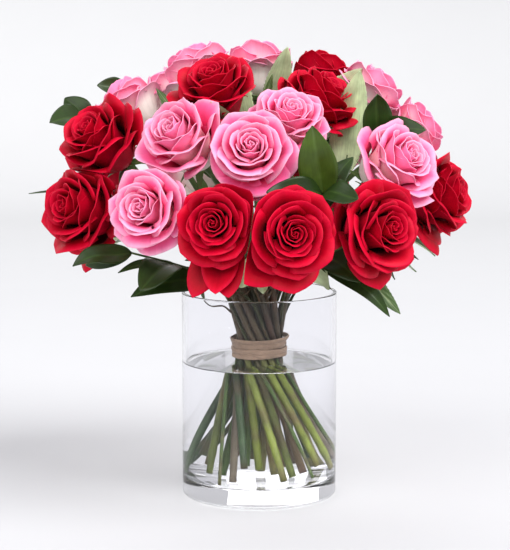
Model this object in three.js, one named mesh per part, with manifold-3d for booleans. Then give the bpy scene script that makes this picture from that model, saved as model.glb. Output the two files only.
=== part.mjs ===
// Twenty-six cut roses, half red and half pink, tied in a spiral with five sprigs of ruscus and
// standing in a clear glass cylinder of water. Millimetres, +Z up. The origin is the centre of the
// vase's foot, and the front of the posy looks along -Y.
import * as THREE from "three";
import { mergeVertices } from "three/addons/utils/BufferGeometryUtils.js";
import Module from "manifold-3d";

const wasm = await Module();
wasm.setup();

// ---- driving dimensions ----
const VASE = { radius: 75, height: 200, wall: 3.5, floor: 19, foot_edge: 3, lip: 1.2, sides: 42 };
const GAP = 0.3; // between any two pieces that touch
const WATER_LEVEL = 131;
const TIE = { z: 146, width: 17, inner: 24.6, thickness: 1.8 };
const TWIST = 0.0236; // lean of a stem at the tie, per mm of its distance from the axis
const BEND_Z = 190; // stems are straight below this height, and curve out to their blooms above it
const PULL = 0.4; // how far a stem's two ends keep their way, as a share of the distance between them
const SEAT_LEAD = 70; // degrees from a bloom's azimuth to its stem's seat in the tie
const FOOT_Z = VASE.floor + 2.4;
const ROSE_STEM = { radius: 3.2, neck: 2.7, hip: 5.4, hip_length: 11, sides: 7, steps: 6 };
const SPRIG_STEM = { radius: 1.6, top: 1.1, sides: 6, steps: 4 };
const LEAF_THICKNESS = 1.4;
const LEAF_FULLNESS = 2.6; // brings the outline's greatest half width to 1

// A bloom's outline: its surface's distance from the centre as a share of the bloom's spread, by the
// angle in degrees from the way it faces.
const BLOOM_OUTLINE = [
  [0, 0.7],
  [20, 0.78],
  [40, 0.93],
  [58, 1.03],
  [75, 1.01],
  [95, 0.92],
  [120, 0.82],
  [148, 0.75],
  [180, 0.72],
];
const BLOOM_BASE = 0.72;
const BLOOM_SIDES = 15;
const BLOOM_LOBES = 5;
const LOBE_DEPTH = 0.035;

// The roses: azimuth in degrees from the front towards +X, distance out from the axis, height of
// the bloom's centre, how far the bloom's face is raised above the horizontal in degrees, its
// spread (the radius of the open bloom), and how far it turns away from its azimuth, if it does.
const ROSES = {
  red_front: [9, 172, 274, 8, 40],
  red_front_left: [-12.5, 168, 282, 10, 35],
  red_front_right: [37, 170, 274, 11, 42],
  pink_low_left: [-36, 163, 291, 14, 38, 8],
  red_low_left: [-71, 171, 284, 14, 43, 22],
  red_low_right: [84, 167, 293, 12, 41, -14],
  pink_centre: [-3, 128, 341, 27, 39],
  pink_mid_left: [-35.6, 117, 349, 36, 43],
  red_mid_left: [-75, 150, 345, 38, 42, 24],
  pink_mid_right: [61, 140, 325, 30, 43, -14],
  pink_upper: [17, 88, 363, 52, 38],
  red_crown: [-38, 64, 392, 58, 39, 14],
  red_upper_right: [68, 58, 379, 50, 41],
  pink_crown_left: [-118, 66, 406, 62, 37],
  pink_crown_back: [180, 64, 407, 64, 38],
  red_crown_back: [136, 88, 396, 56, 37],
  pink_far_right: [101, 107, 387, 46, 35],
  pink_right: [101, 149, 350, 32, 35],
  pink_left: [-103, 127, 373, 44, 37],
  pink_back_left: [-136, 122, 381, 46, 36],
  red_back_low_right: [123, 166, 286, 12, 40],
  red_back_low: [163, 167, 284, 10, 40],
  pink_back_low: [-157, 167, 286, 12, 40],
  red_back_low_left: [-114, 167, 285, 12, 40],
  pink_back: [146, 134, 343, 34, 40],
  red_back: [-172, 130, 346, 36, 40],
};

// The ruscus sprigs. A route is where the sprig's stem goes once it is clear of the tie, and each
// leaf grows from one of the route's points: [point's number, tip, width, and the way its upper side
// faces, where that isn't out from the posy's middle].
const SPRIGS = {
  ruscus_front_right: {
    route: [[44, -92, 252], [53, -122, 290], [56, -136, 306]],
    leaves: [
      [2, [46, -150, 368], 35, [-0.1, -0.95, 0.2]],
      [2, [6, -167, 311], 26],
      [2, [86, -166, 305], 25],
      [1, [84, -118, 338], 24, [-0.4, -0.8, 0.3]],
      [0, [90, -140, 228], 34, [0.1, -0.8, 0.6]],
      [0, [118, -116, 193], 22, [0.2, -0.8, 0.5]],
      [0, [100, -100, 206], 16, [0.2, 0.8, 0.3]],
    ],
  },
  ruscus_low_left: {
    route: [[-44, -66, 222], [-78, -92, 238], [-116, -106, 250]],
    leaves: [
      [2, [-168, -124, 240], 26, [-0.2, -0.7, 0.7]],
      [1, [-106, -144, 221], 34, [-0.3, -0.9, 0.3]],
      [0, [-116, -124, 212], 28, [-0.1, -0.8, 0.5]],
      [2, [-160, -86, 236], 18],
      [1, [-128, -116, 233], 12, [0, -0.6, 0.8]],
      [0, [-66, -128, 246], 20, [0.3, 0.9, 0.3]],
      [0, [-52, -124, 214], 20],
    ],
  },
  ruscus_left: {
    route: [[-92, 2, 262], [-138, 14, 322], [-166, 36, 362], [-132, 86, 388]],
    leaves: [
      [2, [-201, 4, 362], 33, [-0.3, -0.8, 0.5]],
      [2, [-190, 42, 384], 26, [-0.2, -0.8, 0.6]],
      [3, [-160, 66, 396], 22, [0, -0.9, 0.4]],
      [1, [-178, 66, 330], 24],
      [0, [-160, 36, 250], 26],
      [0, [-222, 2, 294], 13, [0, -0.4, 1]],
    ],
  },
  ruscus_right: {
    route: [[80, -22, 262], [94, -20, 292], [106, -24, 350]],
    leaves: [
      [2, [109, -52, 392], 32, [0.3, -0.9, 0.3]],
      [2, [154, -62, 359], 28, [0.2, -0.9, 0.4]],
      [1, [130, 40, 318], 24],
      [0, [150, -44, 236], 26],
      [0, [130, -20, 214], 24],
    ],
  },
  ruscus_back: {
    route: [[4, 84, 258], [2, 122, 292], [32, 142, 318]],
    leaves: [
      [2, [36, 164, 372], 34],
      [2, [-22, 166, 330], 26],
      [2, [86, 152, 320], 26],
      [1, [-62, 150, 320], 26],
      [0, [-40, 152, 226], 30],
      [0, [44, 156, 228], 30],
    ],
  },
};

// Compound leaves that rose stems keep: where on the stem's free end they grow, as a share from the
// bend to the bloom, and each leaflet's tip, width and, where it matters, the way it faces.
const ROSE_LEAVES = {
  pink_crown_back: [0.74, [[27, 4, 434], 26, [0.1, 0.95, 0.2]], [[-34, 0, 428], 20]],
  red_upper_right: [0.7, [[98, 0, 414], 40, [0.1, 0.95, 0.2]]],
  pink_mid_right: [0.75, [[94, -32, 413], 34, [-0.1, 0.95, 0.2]]],
  red_crown: [0.72, [[12, -44, 410], 17, [0.5, -0.8, 0.2]], [[-44, -98, 386], 24, [-0.1, -0.6, 0.8]]],
  pink_mid_left: [0.66, [[-97, -26, 396], 17, [0.2, -0.9, 0.2]]],
  red_front: [0.5, [[-20, -104, 219], 24, [0, 0.9, 0.3]], [[64, -118, 219], 30, [0.2, 0.9, 0.5]]],
  red_front_left: [0.4, [[-44, -92, 226], 20, [0, 0.9, 0.3]], [[4, -108, 214], 18, [0, 0.9, 0.3]]],
  red_front_right: [0.72, [[129, -100, 193], 19, [0.3, -0.9, 0.2]], [[112, -120, 224], 24]],
  red_back_low_right: [0.6, [[138, 132, 228], 30], [[110, 120, 240], 26]],
  pink_back_low: [0.6, [[-86, 158, 230], 30], [[-30, 164, 236], 26]],
  red_back_low_left: [0.6, [[-150, 86, 230], 30], [[-172, 44, 242], 26]],
  red_low_right: [0.6, [[172, 20, 232], 28], [[150, -24, 222], 26]],
};

const COLOURS = {
  red: 0xb4061c,
  pink: 0xf07fa8,
  stem: 0x5d7038,
  ruscus: 0x2c4a26,
  tie: 0xc2a482,
  glass: 0xe8edf0,
  water: 0xdfe6ea,
};

// ---- small geometry tools ----
const radians = THREE.MathUtils.degToRad;
const vector = (p) => new THREE.Vector3(...p);

// A point given by azimuth from the front, distance from the axis and height.
function placed(azimuth, out, up) {
  return new THREE.Vector3(out * Math.sin(radians(azimuth)), -out * Math.cos(radians(azimuth)), up);
}

// A closed surface through rings of equally many points, each ring counter-clockwise seen from the
// end that it travels to, shut by a fan to a pole at either end.
function loft(rings, first, last) {
  const n = rings[0].length;
  const points = [first, ...rings.flat(), last].flatMap((p) => p.toArray());
  const at = (ring, i) => 1 + ring * n + (i % n);
  const end = 1 + rings.length * n;
  const faces = [];
  for (let i = 0; i < n; i++) {
    faces.push(0, at(0, i + 1), at(0, i));
    for (let k = 0; k + 1 < rings.length; k++) {
      faces.push(at(k, i), at(k, i + 1), at(k + 1, i + 1));
      faces.push(at(k, i), at(k + 1, i + 1), at(k + 1, i));
    }
    faces.push(end, at(rings.length - 1, i), at(rings.length - 1, i + 1));
  }
  const geometry = new THREE.BufferGeometry();
  geometry.setAttribute("position", new THREE.Float32BufferAttribute(points, 3));
  geometry.setIndex(faces);
  return geometry;
}

// A round tube along points, with a radius at each, its sections turned as little as possible.
function tube(points, radii, sides) {
  const way = (i) =>
    points[Math.min(i + 1, points.length - 1)].clone().sub(points[Math.max(i - 1, 0)]).normalize();
  const across = new THREE.Vector3(1, 0, 0);
  const rings = points.map((centre, i) => {
    const along = way(i);
    across.addScaledVector(along, -across.dot(along)).normalize();
    const up = along.clone().cross(across);
    return Array.from({ length: sides }, (_, k) => {
      const turn = (2 * Math.PI * k) / sides;
      return centre
        .clone()
        .addScaledVector(across, radii[i] * Math.cos(turn))
        .addScaledVector(up, radii[i] * Math.sin(turn));
    });
  });
  return loft(rings, points[0], points[points.length - 1]);
}

// A profile of [radius, height] pairs turned about the Z axis.
function turned(profile, sides) {
  const points = profile.map(([r, z]) => new THREE.Vector2(r, z));
  return new THREE.LatheGeometry(points, sides).rotateX(Math.PI / 2);
}

function solidOf(geometry) {
  const bare = new THREE.BufferGeometry();
  bare.setAttribute("position", geometry.getAttribute("position").clone());
  if (geometry.index) bare.setIndex(geometry.index);
  const merged = mergeVertices(bare, 1e-4);
  return new wasm.Manifold(
    new wasm.Mesh({
      numProp: 3,
      vertProperties: merged.attributes.position.array,
      triVerts: new Uint32Array(merged.index.array),
    }),
  );
}

function geometryOf(solid) {
  const mesh = solid.getMesh();
  const geometry = new THREE.BufferGeometry();
  geometry.setAttribute("position", new THREE.BufferAttribute(mesh.vertProperties, 3));
  geometry.setIndex(new THREE.BufferAttribute(mesh.triVerts, 1));
  return geometry;
}

const largest = (solids) => solids.reduce((a, b) => (b.volume() > a.volume() ? b : a));

// ---- the stems' seats in the tie ----
// Each stem wants a seat at its own distance and azimuth. Stems that would overlap push each other
// apart. The tie keeps them in, and so does the vase's wall, which the leaning stems reach at its floor.
function seatStems(plants) {
  const LEAN_SHARE = 1.12; // a leaning stem's level section is longer than it is wide
  const ROUNDS = 600;
  const DRAW = 0.01;
  const wanted = plants.map((p) => placed(p.azimuth + SEAT_LEAD, p.seat_out, 0));
  const seats = wanted.map((w) => w.clone());
  const reach = plants.map((p) => p.radius * LEAN_SHARE + GAP / 2);
  const splay = Math.hypot(1, TWIST * (TIE.z - FOOT_Z));
  const furthest = (i) => Math.min(TIE.inner - GAP, (VASE.radius - VASE.wall - GAP) / splay) - reach[i];
  for (let round = 0; round < ROUNDS; round++) {
    seats.forEach((seat, i) => seat.lerp(wanted[i], round < ROUNDS / 2 ? DRAW : 0));
    seats.forEach((a, i) =>
      seats.slice(i + 1).forEach((b, k) => {
        const apart = a.distanceTo(b);
        const needed = reach[i] + reach[i + 1 + k];
        if (apart >= needed) return;
        const push = b.clone().sub(a).multiplyScalar((needed - apart) / 2 / Math.max(apart, 0.1));
        a.sub(push);
        b.add(push);
      }),
    );
    seats.forEach((seat, i) => seat.clampLength(0, furthest(i)));
  }
  return seats;
}

// Where a straight, leaning stem with that seat in the tie is at height z.
function onSpiral(seat, z) {
  const lean = TWIST * (z - TIE.z);
  return new THREE.Vector3(seat.x + lean * seat.y, seat.y - lean * seat.x, z);
}

function spiralWay(seat) {
  return onSpiral(seat, TIE.z + 1).sub(onSpiral(seat, TIE.z)).normalize();
}

// ---- roses ----
function roseLayout() {
  return Object.entries(ROSES).map(([name, [azimuth, out, up, lift, spread, turn = 0]]) => {
    const centre = placed(azimuth, out, up);
    const raised = radians(lift);
    const facing = placed(azimuth + turn, Math.cos(raised), Math.sin(raised));
    const base = centre.clone().addScaledVector(facing, -(BLOOM_BASE * spread + GAP));
    const low = Math.atan2(out, up - BEND_Z) / (Math.PI / 2);
    return { name, azimuth, centre, facing, base, spread, seat_out: 26 * low, radius: ROSE_STEM.radius };
  });
}

function outlineAt(angle) {
  const next = Math.max(1, BLOOM_OUTLINE.findIndex(([a]) => a >= angle));
  const [[a0, r0], [a1, r1]] = [BLOOM_OUTLINE[next - 1], BLOOM_OUTLINE[next]];
  return r0 + ((r1 - r0) * (angle - a0)) / (a1 - a0);
}

// A bloom's outer shape. Blooms press on each other, so none passes the plane between it and its
// neighbour, which lies where their two spheres of petals would meet.
function bloomGeometry(rose, roses, grow = 0) {
  const across = new THREE.Vector3(0, 0, 1).cross(rose.facing).normalize();
  const up = rose.facing.clone().cross(across);
  const walls = roses
    .filter((other) => other !== rose)
    .map((other) => {
      const way = other.centre.clone().sub(rose.centre);
      const apart = way.length();
      const shift = (rose.spread ** 2 - other.spread ** 2) / (2 * apart);
      return { way: way.normalize(), distance: apart / 2 + shift - GAP };
    });
  const surfacePoint = (polar, turn) => {
    const way = rose.facing
      .clone()
      .multiplyScalar(Math.cos(radians(polar)))
      .addScaledVector(across, Math.sin(radians(polar)) * Math.cos(turn))
      .addScaledVector(up, Math.sin(radians(polar)) * Math.sin(turn));
    const lobes = LOBE_DEPTH * Math.sin(radians(polar)) ** 2 * Math.cos(BLOOM_LOBES * turn);
    const free = rose.spread * (outlineAt(polar) + lobes);
    const limit = Math.min(
      ...walls.map((w) => (way.dot(w.way) > 0.05 ? w.distance / way.dot(w.way) : Infinity)),
    );
    return rose.centre.clone().addScaledVector(way, Math.min(free, limit) + grow);
  };
  const inner = BLOOM_OUTLINE.slice(1, -1).map(([polar]) => polar).reverse();
  const rings = inner.map((polar) =>
    Array.from({ length: BLOOM_SIDES }, (_, k) => surfacePoint(polar, (2 * Math.PI * k) / BLOOM_SIDES)),
  );
  return loft(rings, surfacePoint(180, 0), surfacePoint(0, 0));
}

// The centre line of a rose's stem from its cut foot to just below its bloom.
function roseStemPoints(rose, seat, foot_z) {
  const bend = onSpiral(seat, BEND_Z);
  const pull = PULL * bend.distanceTo(rose.base);
  const curve = new THREE.CubicBezierCurve3(
    bend,
    bend.clone().addScaledVector(spiralWay(seat), pull),
    rose.base.clone().addScaledVector(rose.facing, -pull),
    rose.base,
  );
  const hip_start = 1 - ROSE_STEM.hip_length / curve.getLength();
  const shares = Array.from({ length: ROSE_STEM.steps }, (_, i) => (hip_start * i) / (ROSE_STEM.steps - 1));
  const hips = [0.4, 0.8, 1].map((share) => hip_start + (1 - hip_start) * share);
  const points = [...shares, ...hips].map((share) => curve.getPointAt(share));
  return { curve, points: [onSpiral(seat, foot_z), ...points] };
}

function roseStemGeometry(points, grow = 0) {
  const { radius, neck, hip, sides } = ROSE_STEM;
  const last = points.length - 1;
  const radii = points.map((_, i) => {
    if (i > last - 3) return [hip * 0.85, hip, hip * 0.8][i - last + 2] + grow;
    return THREE.MathUtils.lerp(radius, neck, i / (last - 3)) + grow;
  });
  return tube(points, radii, sides);
}

// ---- leaves ----
// A thin folded blade from base to tip. It faces away from the posy's middle unless told otherwise,
// its edges are raised a little above its midrib, and it arches along its length.
function leafGeometry({ base, tip, width, facing }, grow = 0) {
  const ROWS = [0.08, 0.22, 0.4, 0.58, 0.76, 0.91];
  const MIDDLE = new THREE.Vector3(0, 0, 245);
  const along = tip.clone().sub(base);
  const length = along.length();
  along.normalize();
  const outward = facing ?? base.clone().lerp(tip, 0.5).sub(MIDDLE);
  const face = outward.clone().addScaledVector(along, -outward.dot(along)).normalize();
  const side = face.clone().cross(along);
  const rings = ROWS.map((share) => {
    const arch = 0.1 * length * Math.sin(Math.PI * share);
    const mid = base.clone().lerp(tip, share).addScaledVector(face, arch);
    const half = (width / 2) * LEAF_FULLNESS * share ** 0.6 * (1 - share) ** 0.8 + grow;
    const fold = 0.22 * half;
    const thick = LEAF_THICKNESS / 2 + grow;
    return [
      mid.clone().addScaledVector(side, half).addScaledVector(face, fold),
      mid.clone().addScaledVector(face, thick),
      mid.clone().addScaledVector(side, -half).addScaledVector(face, fold),
      mid.clone().addScaledVector(face, -thick),
    ];
  });
  return loft(rings, base.clone().addScaledVector(along, -grow), tip.clone().addScaledVector(along, grow));
}

// A leaf as a solid, kept clear of the solids given, and only the part of it that is left whole.
function clearLeaf(leaf_shape, obstacles) {
  const leaf = obstacles.reduce((left, o) => left.subtract(o), solidOf(leafGeometry(leaf_shape)));
  const parts = leaf.decompose();
  return parts.length ? largest(parts) : null;
}

function withLeaves(stem, leaves) {
  return largest(leaves.filter(Boolean).reduce((whole, leaf) => whole.add(leaf), stem).decompose());
}

// ---- ruscus ----
function sprigPoints(route, seat, foot_z) {
  const ends = [onSpiral(seat, BEND_Z - 30), onSpiral(seat, BEND_Z)];
  const curve = new THREE.CatmullRomCurve3([...ends, ...route.map(vector)], false, "chordal");
  const free = curve.getPoints(SPRIG_STEM.steps * (route.length + 1));
  return [onSpiral(seat, foot_z), ...free];
}

function sprigStemGeometry(points, grow = 0) {
  const { radius, top, sides } = SPRIG_STEM;
  const radii = points.map((_, i) => THREE.MathUtils.lerp(radius, top, i / (points.length - 1)) + grow);
  return tube(points, radii, sides);
}

// ---- vase, water and tie ----
function vaseGeometry() {
  const { radius, height, wall, floor, foot_edge, lip } = VASE;
  const inner = radius - wall;
  return turned(
    [
      [0, 0],
      [radius - foot_edge, 0],
      [radius - foot_edge * 0.3, foot_edge * 0.3],
      [radius, foot_edge],
      [radius, height - lip],
      [radius - lip, height],
      [inner + lip, height],
      [inner, height - lip],
      [inner, floor + foot_edge],
      [inner - foot_edge, floor],
      [0, floor],
    ],
    VASE.sides,
  );
}

function waterGeometry(stems) {
  const { radius, wall, floor, foot_edge } = VASE;
  const wet = radius - wall - GAP;
  const body = turned(
    [
      [0, floor + GAP],
      [wet - foot_edge, floor + GAP],
      [wet, floor + foot_edge + GAP],
      [wet, WATER_LEVEL],
      [0, WATER_LEVEL],
    ],
    VASE.sides,
  );
  return geometryOf(stems.reduce((water, stem) => water.subtract(stem), solidOf(body)));
}

function tieGeometry() {
  const { z, width, inner, thickness } = TIE;
  const flare = inner * (Math.hypot(1, (TWIST * width) / 2) - 1);
  return turned(
    [
      [inner + flare, z - width / 2],
      [inner + flare + thickness, z - width / 2],
      [inner + thickness, z],
      [inner + flare + thickness, z + width / 2],
      [inner + flare, z + width / 2],
      [inner, z],
      [inner + flare, z - width / 2],
    ],
    36,
  );
}

// ---- the posy ----
const posy = new THREE.Group();
posy.name = "roses_in_vase";

function show(name, geometry, colour, surface = {}) {
  const material = new THREE.MeshStandardMaterial({ color: COLOURS[colour], roughness: 0.6, ...surface });
  const mesh = new THREE.Mesh(geometry, material);
  mesh.name = name;
  posy.add(mesh);
}

const roses = roseLayout();
const sprigs = Object.entries(SPRIGS).map(([name, { route, leaves }]) => {
  const [x, y] = route[0];
  const azimuth = THREE.MathUtils.radToDeg(Math.atan2(x, -y));
  return { name, route, leaves, azimuth, seat_out: 24, radius: SPRIG_STEM.radius };
});
const plants = [...roses, ...sprigs];
const seats = seatStems(plants);
plants.forEach((plant, i) => {
  plant.seat = seats[i];
  plant.foot_z = FOOT_Z + ((i * 7) % 5) * 4; // the cut feet don't all reach the floor
});

for (const rose of roses) {
  Object.assign(rose, roseStemPoints(rose, rose.seat, rose.foot_z));
  rose.grown_stem = solidOf(roseStemGeometry(rose.points, GAP * 1.2));
  rose.grown_bloom = solidOf(bloomGeometry(rose, roses, GAP * 1.5));
}
for (const sprig of sprigs) {
  sprig.points = sprigPoints(sprig.route, sprig.seat, sprig.foot_z);
  sprig.grown_stem = solidOf(sprigStemGeometry(sprig.points, GAP * 1.2));
}

// Leaves already placed, a little fatter than they are, so that a later leaf stays clear of them.
const placed_leaves = [];

function growLeaf(owner, base, [tip, width, facing]) {
  const shape = { base, tip: vector(tip), width, facing: facing && vector(facing) };
  const obstacles = [
    ...roses.map((r) => r.grown_bloom),
    ...plants.filter((p) => p !== owner).map((p) => p.grown_stem),
    ...placed_leaves.filter((p) => p.owner !== owner).map((p) => p.solid),
  ];
  placed_leaves.push({ owner, solid: solidOf(leafGeometry(shape, GAP)) });
  return clearLeaf(shape, obstacles);
}

show("vase", vaseGeometry(), "glass", { transparent: true, opacity: 0.35, roughness: 0.05 });
const wet_stems = plants.map(({ seat, foot_z, radius }) => {
  const sides = radius === ROSE_STEM.radius ? ROSE_STEM.sides : SPRIG_STEM.sides;
  const ends = [onSpiral(seat, foot_z - GAP), onSpiral(seat, TIE.z)];
  return solidOf(tube(ends, [radius + GAP, radius + GAP], sides));
});
show("water", waterGeometry(wet_stems), "water", { transparent: true, opacity: 0.3, roughness: 0.02 });
show("tie", tieGeometry(), "tie", { roughness: 0.9 });

for (const rose of roses) {
  const [share, ...leaflets] = ROSE_LEAVES[rose.name] ?? [0];
  const leaves = leaflets.map((leaflet) => growLeaf(rose, rose.curve.getPointAt(share), leaflet));
  const stem = solidOf(roseStemGeometry(rose.points));
  show(`${rose.name}_stem`, geometryOf(withLeaves(stem, leaves)), "stem");
  show(`${rose.name}_bloom`, bloomGeometry(rose, roses), rose.name.split("_")[0]);
}

for (const sprig of sprigs) {
  const leaves = sprig.leaves.map(([number, ...leaf]) => growLeaf(sprig, vector(sprig.route[number]), leaf));
  const stem = solidOf(sprigStemGeometry(sprig.points));
  show(sprig.name, geometryOf(withLeaves(stem, leaves)), "ruscus");
}

export default posy;
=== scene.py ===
import math

import bpy
import numpy as np
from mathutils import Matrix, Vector


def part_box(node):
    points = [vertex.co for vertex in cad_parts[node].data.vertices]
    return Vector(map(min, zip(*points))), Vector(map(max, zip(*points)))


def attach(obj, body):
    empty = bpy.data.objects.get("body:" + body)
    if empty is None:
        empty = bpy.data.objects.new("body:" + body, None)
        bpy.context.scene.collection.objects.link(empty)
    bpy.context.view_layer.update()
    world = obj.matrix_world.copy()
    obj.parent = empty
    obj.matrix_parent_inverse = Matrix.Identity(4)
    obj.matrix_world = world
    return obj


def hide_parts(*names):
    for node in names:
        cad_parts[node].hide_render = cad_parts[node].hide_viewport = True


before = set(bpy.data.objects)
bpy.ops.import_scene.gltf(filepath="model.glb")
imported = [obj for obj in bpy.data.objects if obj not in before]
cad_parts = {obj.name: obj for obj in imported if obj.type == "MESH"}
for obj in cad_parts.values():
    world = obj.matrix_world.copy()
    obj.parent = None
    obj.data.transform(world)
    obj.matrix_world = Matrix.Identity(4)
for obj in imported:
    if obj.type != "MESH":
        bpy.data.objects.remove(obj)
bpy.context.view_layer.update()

# ---------------------------------------------------------------- sizes, in metres
MM = 0.001
BLOOM_DEPTH = 1.42  # a bloom's depth from base to face, as a share of its spread
BLOOM_MIDDLE = 0.72  # its centre's height above its base, as the same share
PETALS = 32
PETAL_ROWS = 17
PETAL_THICKNESS = 0.0005
PETAL_GRAIN = (0.02, 0.045)  # how much grain lies across and along a petal
FULLNESS = 1.11  # petals' rims reach a little past the bloom's solid
GOLDEN_TURN = math.radians(137.5)

BEND_Z = 0.190  # stems are straight below this height
LOW_Z = 0.160  # a sprig's first point above its foot
PULL = 0.4  # how far a stem's two ends keep their way, as a share of the distance between them
STEM = {"radius": 0.0032, "neck": 0.0026, "hip": 0.0054}
SPRIG = {"radius": 0.0017, "top": 0.0010, "colour": 4}  # colour counts in STEM_COLOURS
LEAFLET_STALK = 0.22  # a leaflet's bare stalk, as a share of the way to its tip
THORN = {"radii": [0.0017, 0.0011, 0.0006, 0.0001], "count": 4}
LEAF_MIDDLE = Vector((0, 0, 0.245))  # leaves face away from here
LEAF_FULLNESS = 2.6  # brings the outline's greatest half width to 1

VASE = {"radius": 0.075, "height": 0.200, "wall": 0.0035, "floor": 0.019, "sides": 192}
WATER_LEVEL = 0.131

# The camera's place, how far it looks below level, in radians, its sensor's longer side, in
# millimetres, and its focal length, in the same units as the image's height.
CAMERA = {"place": (-0.00404, -1.780, 0.457), "tilt": 0.1349, "sensor": 36, "focal": 1857}
IMAGE_HEIGHT = 550

# What each seeded routine starts from, so every run gives the same shapes.
SEEDS = {"rose": 11, "stem": 500, "sprig": 900, "raffia": 77, "fibres": 31}


# ---------------------------------------------------------------- mesh tools
def build_mesh(name, parts, materials):
    """One mesh object from parts, each (points, quads, colours, grain, material number)."""
    points, quads, tint, grain, slots = [], [], [], [], []
    offset = 0
    for p, q, c, g, m in parts:
        points.append(p)
        quads.append(q + offset)
        tint.append(np.broadcast_to(c, (len(p), 4)) if np.ndim(c) == 1 else c)
        grain.append(g)
        slots.append(np.full(len(q), m))
        offset += len(p)
    points, quads = np.concatenate(points), np.concatenate(quads)
    tint, grain, slots = np.concatenate(tint), np.concatenate(grain), np.concatenate(slots)
    mesh = bpy.data.meshes.new(name)
    mesh.vertices.add(len(points))
    mesh.vertices.foreach_set("co", points.astype(np.float32).ravel())
    mesh.loops.add(quads.size)
    mesh.loops.foreach_set("vertex_index", quads.astype(np.int32).ravel())
    mesh.polygons.add(len(quads))
    mesh.polygons.foreach_set("loop_start", np.arange(0, quads.size, 4, dtype=np.int32))
    mesh.polygons.foreach_set("material_index", slots.astype(np.int32))
    mesh.polygons.foreach_set("use_smooth", np.ones(len(quads), dtype=bool))
    mesh.update(calc_edges=True)
    mesh.validate()
    layer = mesh.color_attributes.new("tint", "FLOAT_COLOR", "POINT")
    layer.data.foreach_set("color", tint.astype(np.float32).ravel())
    uv = mesh.uv_layers.new(name="grain")
    uv.data.foreach_set("uv", grain[quads.ravel()].astype(np.float32).ravel())
    for material in materials:
        mesh.materials.append(material)
    piece = bpy.data.objects.new(name, mesh)
    bpy.context.collection.objects.link(piece)
    return piece


def grid_quads(rows, cols, wrap=False, ring=False):
    """Quads of a grid of rows x cols points, closed round its columns if wrap and round its rows if
    ring."""
    n = np.arange(rows * cols).reshape(rows, cols)
    if wrap:
        n = np.concatenate([n, n[:, :1]], axis=1)
    if ring:
        n = np.concatenate([n, n[:1]])
    return np.stack([n[:-1, :-1], n[:-1, 1:], n[1:, 1:], n[1:, :-1]], axis=-1).reshape(-1, 4)


def grid_normals(grid):
    """The way straight out of a grid at each of its points."""
    down = np.gradient(grid, axis=0)
    across = np.gradient(grid, axis=1)
    normals = np.cross(across, down)
    return normals / np.maximum(np.linalg.norm(normals, axis=-1, keepdims=True), 1e-12)


def thicken(grid, thickness):
    """A closed thin shell round a grid of points: its points and quads. Its first half of points is
    the side that a petal or leaf turns away from the way it faces."""
    rows, cols = grid.shape[:2]
    normals = grid_normals(grid)
    half = np.asarray(thickness)[..., None] / 2 if np.ndim(thickness) else thickness / 2
    front, back = grid + normals * half, grid - normals * half
    count = rows * cols
    face = grid_quads(rows, cols)
    n = np.arange(count).reshape(rows, cols)
    border = np.concatenate([n[0, :-1], n[:-1, -1], n[-1, :0:-1], n[:0:-1, 0]])
    after = np.roll(border, -1)
    rim = np.stack([after, border, border + count, after + count], axis=-1)
    points = np.concatenate([front.reshape(-1, 3), back.reshape(-1, 3)])
    quads = np.concatenate([face, face[:, ::-1] + count, rim])
    return points, quads


def tube(points, radii, sides, wave=None):
    """A closed tube along points: its points, quads and grain (turns round, metres along). A wave
    makes it a little three-sided, by a share at each point."""
    points = np.asarray(points, dtype=float)
    along = np.gradient(points, axis=0)
    along /= np.linalg.norm(along, axis=1, keepdims=True)
    across = np.array([1.0, 0.0, 0.0])
    turns = np.arange(sides) * 2 * math.pi / sides
    rings = []
    for i, (centre, way) in enumerate(zip(points, along)):
        across = across - way * across.dot(way)
        across /= np.linalg.norm(across)
        up = np.cross(way, across)
        radius = radii[i] * (1 + (wave[i] if wave is not None else 0) * np.cos(3 * turns + i * 0.4))
        circle = np.cos(turns)[:, None] * across + np.sin(turns)[:, None] * up
        rings.append(centre + radius[:, None] * circle)
    shut = [np.repeat(points[:1], sides, axis=0), *rings, np.repeat(points[-1:], sides, axis=0)]
    grid = np.stack(shut)
    travel = np.concatenate([[0], np.cumsum(np.linalg.norm(np.diff(points, axis=0), axis=1))])
    travel = np.concatenate([travel[:1], travel, travel[-1:]])
    grain = np.stack(np.broadcast_arrays(turns[None, :] / (2 * math.pi), travel[:, None]), axis=-1)
    return grid.reshape(-1, 3), grid_quads(len(shut), sides, wrap=True), grain.reshape(-1, 2)


def lathe(name, profile, sides, material):
    """A closed smooth solid turned about the Z axis, from (radius, height) pairs that start and end
    on the axis."""
    turns = np.arange(sides) * 2 * math.pi / sides
    points = [(0, 0, profile[0][1])]
    for r, z in profile[1:-1]:
        points += [(r * math.cos(t), r * math.sin(t), z) for t in turns]
    points.append((0, 0, profile[-1][1]))
    last = len(points) - 1
    faces = []
    for i in range(sides):
        j = (i + 1) % sides
        faces.append((0, 1 + j, 1 + i))
        for k in range(len(profile) - 3):
            a, b = 1 + k * sides, 1 + (k + 1) * sides
            faces.append((a + i, a + j, b + j, b + i))
        top = 1 + (len(profile) - 3) * sides
        faces.append((last, top + i, top + j))
    mesh = bpy.data.meshes.new(name)
    mesh.from_pydata(points, [], faces)
    mesh.polygons.foreach_set("use_smooth", np.ones(len(faces), dtype=bool))
    mesh.set_sharp_from_angle(angle=math.radians(35))
    mesh.materials.append(material)
    piece = bpy.data.objects.new(name, mesh)
    bpy.context.collection.objects.link(piece)
    return piece


def mix(a, b, share):
    """A blend of two colours, with share of the second."""
    share = np.asarray(share)[..., None]
    return np.asarray(a) * (1 - share) + np.asarray(b) * share


def smooth(x):
    """An even rise from 0 at 0 to 1 at 1, level at both ends."""
    x = np.clip(x, 0, 1)
    return x * x * (3 - 2 * x)


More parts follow.
